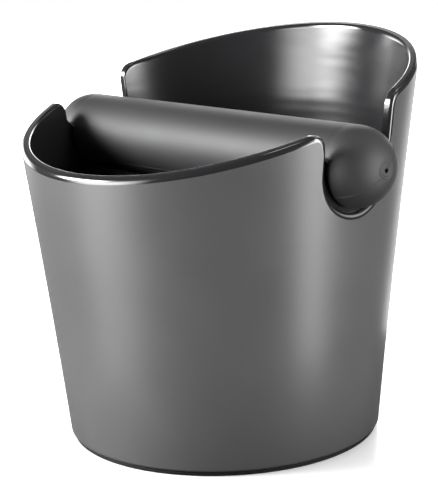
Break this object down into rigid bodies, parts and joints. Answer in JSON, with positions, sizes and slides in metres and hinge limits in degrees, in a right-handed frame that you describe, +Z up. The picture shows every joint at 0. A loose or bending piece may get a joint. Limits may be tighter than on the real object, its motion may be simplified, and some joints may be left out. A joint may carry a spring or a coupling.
{
  "type": "espresso knock box",
  "caption": "Flared plastic bin with a slanted rim and a lift-out rubber knock bar across its mouth, for knocking spent coffee pucks out of a portafilter.",
  "frame": {"origin": "middle of the base pad's underside, on the surface that the box stands on", "axes": "+Z up, +X along the knock bar, -Y towards the low front lip"},
  "size_m": [0.1674, 0.1495, 0.1489],
  "materials": {
    "bin_plastic": "charcoal moulded plastic, fine satin texture outside, polished inside and along the rim",
    "pad_rubber": "black non-slip rubber",
    "bar_rubber": "dark grey moulded rubber, matte",
    "core_steel": "plain turned rod"
  },
  "bodies": {
    "base": {"bin": "bin_plastic", "base_pad": "pad_rubber"},
    "knock_bar": {"bar_sleeve": "bar_rubber", "bar_core": "core_steel"}
  },
  "joints": [
    {"name": "bar_lift", "type": "slide", "parent": "base", "child": "knock_bar", "axis": [0, 0, 1], "range_m": [0, 0.06]}
  ]
}
